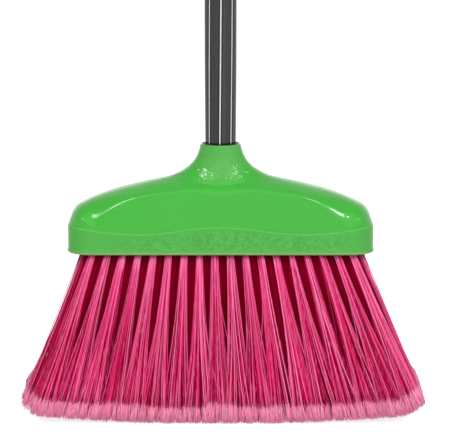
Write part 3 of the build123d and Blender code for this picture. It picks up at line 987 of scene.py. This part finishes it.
class Finish(Nodes):
    """A new material and its shader."""

    def __init__(self, name):
        self.material = bpy.data.materials.new(name)
        super().__init__(self.material)
        self.shader = self.tree.nodes["Principled BSDF"]

    def done(self, colour, roughness, **inputs):
        """The material, with these inputs on its shader, named as there with _ for a space."""
        inputs = {"Base_Color": colour, "Roughness": roughness, **inputs}
        for name, value in inputs.items():
            self.put(self.shader.inputs[name.replace("_", " ")], value)
        return self.material


def shade(colour, factor):
    """A colour made darker or lighter."""
    return tuple(min(channel * factor, 1.0) for channel in colour)


def moulded_green(name, colour, sheen_green, lip_reflection, gloss, kind):
    """Moulded green plastic: cloudy, with painted shade in the pits and painted highlight on the bumps of its
    relief, a paler green painted in for the sheen of its grained parts, and painted pink light reflected onto
    the bottom edge.
    """
    rougher, shine, skin_depth = kind
    gloss = gloss + rougher
    paint = Finish(name)
    place = paint.place()
    cloud = paint.noise(place, 22.0, 2.0)
    tint = paint.between(cloud, shade(colour, 0.95), shade(colour, 1.05))
    tint = paint.between(paint.noise(place, 900.0, 2.0), tint, shade(colour, 1.04))
    # Painted sheen: the neck's grained foot takes a paler, whiter green; the band has it all over
    tint = paint.between(paint.attribute("grain"), tint, sheen_green)
    # Painted shade in the relief's pits, painted highlight on its bumps and along the band's waved edge
    relief = paint.attribute("relief")
    tint = paint.blend(relief, 0.0, -1.0, tint, shade(colour, 0.85))
    tint = paint.blend(relief, 0.0, 1.2, tint, shade(colour, 1.2))
    # Painted pink light reflected from the bristles onto the skirt's bottom lip, in patches
    edge = paint.opposite(paint.smooth(paint.axes(place)["Z"], *LIP_REFLECTION_SPAN))
    lip_reflection_mask = paint.math("MULTIPLY", edge, paint.between(paint.noise(place, 160.0), 0.5, 1.0))
    tint = paint.between(lip_reflection_mask, tint, lip_reflection)
    rough = paint.between(cloud, gloss - 0.05, gloss + 0.07)
    skin = paint.bump(paint.noise(place, 420.0, 2.0), skin_depth)
    return paint.done(tint, rough, Normal=skin, IOR=1.49, Specular_IOR_Level=shine)


def pink_filament(settings):
    """Dyed filament with painted shade inside the brush, darkest at the root; pale split ends; each filament
    a little lighter or darker.
    """
    paint = Finish("pink_filament")
    deep = paint.attribute("deep")
    height = paint.axes(paint.place())["Z"]
    ends = paint.smooth(paint.attribute("split"), -0.25, 0.2)
    paler = paint.blend(height, 0.03, 0.11, -0.45, 0.35)
    tone = paint.math("ADD", paint.attribute("tone"), paler)
    dyed_and_shaded = paint.blend(tone, -1.4, 2.7, settings.deep_colour, settings.light_colour)
    dyed_and_shaded = paint.blend(tone, -0.5, -1.4, dyed_and_shaded, settings.dark_colour)
    mottle = paint.noise(paint.place((1.0, 1.0, 0.15)), 700.0, 2.0)
    dyed_and_shaded = paint.blend(mottle, 0.45, 1.0, dyed_and_shaded, settings.light_colour)
    # Painted shade inside the brush: darker red at the root, redder and lighter low down as painted light
    # through the filaments, and pinker shaded split ends
    inner = paint.blend(height, 0.02, 0.085, settings.inner_shade_low_colour, settings.inner_shade_colour)
    dyed_and_shaded = paint.between(deep, dyed_and_shaded, inner)
    pale = paint.between(deep, settings.tip_colour, settings.inner_tip_shade_colour)
    tint = paint.between(ends, dyed_and_shaded, pale)
    return paint.done(tint, paint.between(ends, 0.55, 0.75), Specular_IOR_Level=0.01)


def striped_film(settings):
    """Printed film: dark grey with fine streaks along the stick and even white lines that drift round it.

    A point's place among the lines is its turn less the first line's and the drift, counted in lines. Half a
    line and a hundred whole ones are added, so that a line lies at a half and the count stays positive.
    """
    paint = Finish("striped_film")
    film = settings.film_colour
    axes = paint.axes(paint.add("TexCoord").outputs["Object"])
    angle = paint.math("ARCTAN2", axes["X"], paint.math("MULTIPLY", axes["Y"], -1.0))
    drift = paint.math("MULTIPLY", paint.math("SUBTRACT", axes["Z"], STRIPE_LEVEL), settings.stripe_drift)
    turn = paint.math("SUBTRACT", paint.math("SUBTRACT", angle, settings.stripe_start), drift)
    lines = paint.math("MULTIPLY", turn, settings.stripes / TURN)
    place = paint.math("FRACT", paint.math("ADD", lines, 100.5))
    away = paint.math("ABSOLUTE", paint.math("SUBTRACT", place, 0.5))
    half = settings.stripe_width / 2.0 / (TURN * FILM_RADIUS * MM / settings.stripes)
    line = paint.opposite(paint.smooth(away, half * 0.8, half * 1.3))
    beside = paint.opposite(paint.smooth(away, half * 2.4, half * 5.0))
    streaks = paint.place((1.0, 1.0, 0.012))
    fine = paint.noise(streaks, 1500.0, 3.0, 0.6)
    broad = paint.noise(streaks, 330.0, 2.0)
    grey = paint.blend(fine, 0.25, 0.75, shade(film, 0.72), film)
    grey = paint.blend(broad, 0.35, 0.75, grey, shade(film, 1.3))
    grey = paint.between(beside, grey, shade(film, 0.12))
    tint = paint.between(line, grey, settings.stripe_colour)
    rough = paint.between(fine, 0.32, 0.52)
    return paint.done(tint, rough, Normal=paint.bump(fine, 0.00004), Specular_IOR_Level=0.25)


def black_plastic(colour):
    """Black moulded plastic with a fine matt grain and faint dust-pale rubbing."""
    paint = Finish("black_plastic")
    place = paint.place()
    rub = paint.noise(place, 160.0, 4.0, 0.65)
    tint = paint.blend(rub, 0.45, 0.85, colour, shade(colour, 2.4))
    grain = paint.bump(paint.noise(place, 1400.0, 2.0), 0.00006)
    return paint.done(tint, paint.between(rub, 0.36, 0.62), Normal=grain)


def pale_wood(colour):
    """Pale turned wood with grain along the stick."""
    paint = Finish("pale_wood")
    grain = paint.noise(paint.place((1.0, 1.0, 0.05)), 260.0, 5.0, 0.6)
    pore = paint.noise(paint.place((1.0, 1.0, 0.02)), 1600.0, 2.0)
    wood = paint.blend(grain, 0.3, 0.7, shade(colour, 0.62), colour)
    wood = paint.blend(pore, 0.6, 0.8, wood, shade(colour, 0.45))
    return paint.done(wood, paint.between(grain, 0.5, 0.7), Normal=paint.bump(pore, 0.0001))


def drawn_steel(colour):
    """Drawn steel wire with fine lines."""
    paint = Finish("drawn_steel")
    lines = paint.noise(paint.place((0.1, 1.0, 1.0)), 2600.0, 2.0)
    tint = paint.between(lines, shade(colour, 0.75), colour)
    return paint.done(tint, paint.between(lines, 0.28, 0.46), Metallic=1.0)


def white_floor():
    """Matt white floor that keeps its shadows and glows a little where it is seen."""
    paint = Finish("white_floor")
    glow = paint.math("MULTIPLY", paint.seen(), FLOOR_GLOW)
    white = paint.add("Emission", {"Strength": glow}).outputs["Emission"]
    both = paint.add("AddShader", {0: paint.shader.outputs["BSDF"], 1: white}).outputs[0]
    paint.put(paint.tree.nodes["Material Output"].inputs["Surface"], both)
    return paint.done(FLOOR_GREY, 1.0, Specular_IOR_Level=0.0)


def dress(piece, material):
    """Give a new piece or a CAD node its material."""
    if not piece.material_slots:
        piece.data.materials.append(material)
    for slot in piece.material_slots:
        slot.material = material


def place_piece(piece, body, nodes, material):
    """Dress a new piece, hang it on the empty of the body that carries it, and hide the CAD nodes it stands
    for.
    """
    dress(piece, material)
    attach(piece, body)
    if nodes:
        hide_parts(*nodes)


def aim(thing, target, azimuth, elevation, distance, roll=0.0):
    """Stand a lamp or camera off its target, at angles from the front, turned to it and rolled."""
    level = math.cos(elevation)
    away = Vector((math.sin(azimuth) * level, -math.cos(azimuth) * level, math.sin(elevation)))
    thing.location = Vector(target) + away * distance
    thing.rotation_mode = "QUATERNION"
    thing.rotation_quaternion = (-away).to_track_quat("-Z", "Y") @ Quaternion((0.0, 0.0, 1.0), roll)
    bpy.context.scene.collection.objects.link(thing)


# Settings


def number(name, description, default, **limits):
    """A number property, with its limits, unit or subtype."""
    return FloatProperty(name=name, description=description, default=default, **limits)


def whole(name, description, default, **limits):
    """A whole number property."""
    return IntProperty(name=name, description=description, default=default, **limits)


def length(name, description, default):
    """A length property in metres."""
    return number(name, description, default, min=0.0, unit="LENGTH", precision=5)


def angle(name, description, degrees):
    """An angle property."""
    return number(name, description, math.radians(degrees), subtype="ANGLE")


def power(name, description, default):
    """A lamp's power property in watts."""
    return number(name, description, default, subtype="POWER")


def colour(name, description, *display):
    """A colour property from display values, kept in scene-linear values."""
    shared = {"size": 3, "subtype": "COLOR", "min": 0.0, "max": 1.0}
    return FloatVectorProperty(name=name, description=description, default=linear(*display), **shared)


class BroomHeadSettings(bpy.types.PropertyGroup):
    """What a user would change on the head."""

    green: colour("Green", "Colour of the moulded cover and board", 51, 165, 43)
    # Paler green painted in for the sheen of the stippled band and the neck's foot
    sheen_green: colour("Grained green", "Paler green of the stippled band and the neck", 75, 163, 68)
    # Colour of the painted pink light reflected from the bristles onto the bottom lip
    lip_reflection: colour("Worn green", "Rubbed bottom edge of the skirt", 126, 160, 99)
    gloss: number("Roughness", "Roughness of the cover's smooth plastic", 0.15, min=0.06, max=0.9)
    neck_relief: length("Neck relief", "Depth of the pebbling round the neck's foot", 0.00014)
    band_stipple: length("Band stipple", "Depth of the stipple on the skirt's band", 0.00014)
    collar: length("Tuft collar", "Height of the collar round each tuft", 0.0003)
    steel: colour("Steel", "Wire anchors", 188, 190, 194)


class BroomBristleSettings(bpy.types.PropertyGroup):
    """What a user would change on the bristles."""

    filaments: whole("Filaments", "Filaments in each tuft", 80, min=8, max=130)
    clumps: whole("Clumps", "Clumps that a tuft falls into", 24, min=1, max=30)
    filament_radius: length("Filament radius", "Radius of one filament", 0.00034)
    tuft_radius: length("Tuft radius", "Radius of a tuft at the board", 0.0023)
    tip_spread: number("Tip spread", "How much wider a tuft is at its tips", 5.2, min=1.0, max=6.0)
    flag_share: number("Split share", "Share of a filament that is split", 0.092, min=0.02, max=0.4)
    strays: number("Strays", "Share of filaments that stand out of their tuft", 0.045, min=0.0, max=0.5)
    pale_share: number("Pale share", "Share of filaments that took less dye", 0.1, min=0.0, max=1.0)
    hairs: whole("Split hairs", "Hairs that a filament's end splits into", 5, min=1)
    lean: length("Lean", "How far the tips stand to the right of straight down", 0.0051)
    seed: whole("Seed", "Seed of the bristles' variation", 41)
    # Colours of the painted shade inside the brush, lighter low down as painted light through the filaments
    inner_shade_colour: colour("Inner red", "Filaments inside the brush, lit through the others", 216, 0, 66)
    inner_shade_low_colour: colour("Inner red below", "The same towards the open tips", 255, 0, 92)
    inner_tip_shade_colour: colour("Inner tip pink", "Split ends inside the bundle", 255, 74, 140)
    # Also taken by the core filaments, whose tone is lowered as painted shade
    dark_colour: colour("Dark pink", "Few filaments that took the most dye", 172, 2, 64)
    deep_colour: colour("Deep pink", "Deeper dyed filaments", 236, 0, 112)
    light_colour: colour("Light pink", "Lightest dyed filaments", 255, 136, 188)
    tip_colour: colour("Tip pink", "Split ends", 255, 162, 198)


class BroomHandleSettings(bpy.types.PropertyGroup):
    """What a user would change on the handle."""

    stripes: whole("Lines", "White lines round the handle", 8, min=1, max=40)
    stripe_width: length("Line width", "Width of a white line", 0.0008)
    stripe_start: angle("First line", "Turn of the first line from the front", -0.8)
    stripe_drift: angle("Drift", "Turn of the lines in a metre of handle", 45.0)
    film_colour: colour("Film grey", "Film between the lines", 49, 49, 49)
    stripe_colour: colour("Line white", "Printed lines", 208, 208, 206)
    black: colour("Black plastic", "Ferrule and cap", 28, 28, 29)
    wood: colour("Wood", "Turned stick", 214, 178, 128)
    thread_depth: length("Thread depth", "Depth of the ferrule's thread", 0.0011)
    foot_ripple: length("Foot ripple", "Depth of the film's ripple at its foot", 0.00005)
    cap_softness: length("Cap softness", "Rounding of the cap's edges", 0.0016)


class BroomStageSettings(bpy.types.PropertyGroup):
    """What a user would change on the stage."""

    ambient: number("Ambient", "Strength of the light from all round", 0.28, min=0.0)
    front_power: power("Front box", "Power of the wide front box", 27.5)
    back_power: power("Back box", "Power of the wide back box", 6.0)
    side_power: power("Side box", "Power of the wide right box", 7.5)
    left_power: power("Left box", "Power of the left softbox", 11.5)
    right_power: power("Right lamp", "Power of the right lamp", 5.0)
    neck_power: power("Neck lamp", "Power of the neck lamp", 4.0)
    top_power: power("Top strip", "Power of the strip above", 2.0)
    distance: length("Camera distance", "From the camera to its target", 1.7)
    elevation: angle("Camera elevation", "Camera's angle above level", 10.2)


SETTINGS = {
    "broom_head": BroomHeadSettings,
    "broom_bristles": BroomBristleSettings,
    "broom_handle": BroomHandleSettings,
    "broom_stage": BroomStageSettings,
}


# Operators


class BROOM_OT_head_cover(bpy.types.Operator):
    """Build the moulded head cover and the stippled band of its skirt"""

    bl_idname = "broom.head_cover"
    bl_label = "Head cover"

    def execute(self, context):
        head = context.scene.broom_head
        sheen_green = head.sheen_green
        smooth = moulded_green("green_smooth", head.green, sheen_green, head.lip_reflection, head.gloss, SMOOTH)
        # The band's colour is the paler green painted in for its sheen
        textured = moulded_green("green_textured", sheen_green, sheen_green, head.lip_reflection, head.gloss, TEXTURED)
        rings, relief, grain = cover_rings(head.neck_relief / MM)
        cover = poled_piece("head_cover_shell", rings, SKIRT_Z + SOCKET_FLOOR, SKIRT_Z + SOCKET_FOOT)
        add_values(cover, "relief", relief)
        add_values(cover, "grain", grain)
        place_piece(cover, "head", ["head_cover"], smooth)
        rings, relief = band_rings(head.band_stipple / MM)
        skirt = looped_piece("skirt_band", rings)
        add_values(skirt, "relief", relief)
        place_piece(skirt, "head", ["head_cover"], textured)
        return {"FINISHED"}


class BROOM_OT_tuft_board(bpy.types.Operator):
    """Build the face of the tuft board and finish the block and the wire anchors behind it"""

    bl_idname = "broom.tuft_board"
    bl_label = "Tuft board"

    def execute(self, context):
        head = context.scene.broom_head
        moulded = moulded_green("green_board", head.green, head.green, head.green, head.gloss, BOARD)
        board = slab_piece("tuft_board_face", *board_points(head.collar / MM))
        place_piece(board, "head", [], moulded)
        dress(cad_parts["tuft_block"], moulded)
        dress(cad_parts["tuft_anchors"], drawn_steel(head.steel))
        return {"FINISHED"}


class BROOM_OT_bristle_rows(bpy.types.Operator):
    """Build the five rows of fanned, clumped and split filaments"""

    bl_idname = "broom.bristle_rows"
    bl_label = "Bristle rows"

    def execute(self, context):
        settings = context.scene.broom_bristles
        pink = pink_filament(settings)
        for row in range(len(ROW_TUFTS)):
            points, quads, triangles, values = bristle_row(row, settings)
            piece = make_piece(f"filaments_row_{row + 1}", points, quads, triangles, flat_ends=True)
            for name, value in values.items():
                add_values(piece, name, value)
            place_piece(piece, "head", [f"bristle_row_{row + 1}"], pink)
        return {"FINISHED"}


class BROOM_OT_ferrule(bpy.types.Operator):
    """Build the threaded ferrule at the handle's foot"""

    bl_idname = "broom.ferrule"
    bl_label = "Threaded ferrule"

    def execute(self, context):
        handle = context.scene.broom_handle
        rings = ferrule_rings(handle.thread_depth / MM)
        ferrule = poled_piece("ferrule_screw", rings, FERRULE_FOOT, FERRULE_FLOOR)
        place_piece(ferrule, "ferrule", ["threaded_ferrule"], black_plastic(handle.black))
        return {"FINISHED"}


class BROOM_OT_handle(bpy.types.Operator):
    """Build the printed film and finish the wooden stick under it"""

    bl_idname = "broom.handle"
    bl_label = "Handle"

    def execute(self, context):
        handle = context.scene.broom_handle
        film = looped_piece("striped_sleeve", film_rings(handle.foot_ripple / MM))
        place_piece(film, "handle", ["handle_film"], striped_film(handle))
        dress(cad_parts["handle_stick"], pale_wood(handle.wood))
        return {"FINISHED"}


class BROOM_OT_hanger_cap(bpy.types.Operator):
    """Build the hanging cap on the handle's top"""

    bl_idname = "broom.hanger_cap"
    bl_label = "Hanging cap"

    def execute(self, context):
        handle = context.scene.broom_handle
        cap = looped_piece("hanging_cap", cap_rings(handle.cap_softness / MM))
        place_piece(cap, "handle", ["hanger_cap"], black_plastic(handle.black))
        return {"FINISHED"}


class BROOM_OT_stage(bpy.types.Operator):
    """Build the white floor, the studio light and the camera"""

    bl_idname = "broom.stage"
    bl_label = "Stage"

    def execute(self, context):
        scene = context.scene
        settings = scene.broom_stage
        scene.view_settings.view_transform = "Standard"

        corners = raised(np.array([(-1, -1), (1, -1), (1, 1), (-1, 1)]) * FLOOR_HALF, FLOOR_Z)
        floor = make_piece("studio_floor", corners, np.array([[0, 1, 2, 3]]))
        dress(floor, white_floor())

        scene.world = bpy.data.worlds.new("studio_white")
        sky = Nodes(scene.world)
        background = sky.tree.nodes["Background"]
        background.inputs["Color"].default_value = (1.0, 1.0, 1.0, 1.0)
        sky.put(background.inputs["Strength"], sky.between(sky.seen(), settings.ambient, 1.0))

        for name, setting, size, azimuth, elevation, distance, roll in LAMPS:
            data = bpy.data.lights.new(name, "AREA")
            data.energy = getattr(settings, setting)
            data.shape = "RECTANGLE"
            data.size, data.size_y = size
            azimuth, elevation, roll = np.radians((azimuth, elevation, roll))
            aim(bpy.data.objects.new(name, data), LAMP_TARGET, azimuth, elevation, distance, roll)

        data = bpy.data.cameras.new("photo_camera")
        data.sensor_fit = "HORIZONTAL"
        data.sensor_width = CAMERA_SENSOR
        data.lens = CAMERA_LENS
        data.clip_end = CAMERA_CLIP
        scene.camera = bpy.data.objects.new("photo_camera", data)
        aim(scene.camera, CAMERA_TARGET, 0.0, settings.elevation, settings.distance)
        return {"FINISHED"}


OPERATORS = (
    BROOM_OT_head_cover,
    BROOM_OT_tuft_board,
    BROOM_OT_bristle_rows,
    BROOM_OT_ferrule,
    BROOM_OT_handle,
    BROOM_OT_hanger_cap,
    BROOM_OT_stage,
)


class BROOM_PT_panel(bpy.types.Panel):
    """The broom's settings and steps"""

    bl_idname = "BROOM_PT_panel"
    bl_label = "Household broom"
    bl_space_type = "VIEW_3D"
    bl_region_type = "UI"
    bl_category = "Broom"

    def draw(self, context):
        for operator in OPERATORS:
            self.layout.operator(operator.bl_idname)
        for name, group in SETTINGS.items():
            box = self.layout.box()
            for key in group.__annotations__:
                box.prop(getattr(context.scene, name), key)


def register():
    for group in SETTINGS.values():
        bpy.utils.register_class(group)
    for name, group in SETTINGS.items():
        setattr(bpy.types.Scene, name, PointerProperty(type=group))
    for operator in OPERATORS:
        bpy.utils.register_class(operator)
    bpy.utils.register_class(BROOM_PT_panel)


def unregister():
    bpy.utils.unregister_class(BROOM_PT_panel)
    for operator in reversed(OPERATORS):
        bpy.utils.unregister_class(operator)
    for name in SETTINGS:
        delattr(bpy.types.Scene, name)
    for group in reversed(SETTINGS.values()):
        bpy.utils.unregister_class(group)


def main():
    """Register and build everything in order."""
    register()
    bpy.ops.broom.head_cover()
    bpy.ops.broom.tuft_board()
    bpy.ops.broom.bristle_rows()
    bpy.ops.broom.ferrule()
    bpy.ops.broom.handle()
    bpy.ops.broom.hanger_cap()
    bpy.ops.broom.stage()


if __name__ == "__main__":
    main()
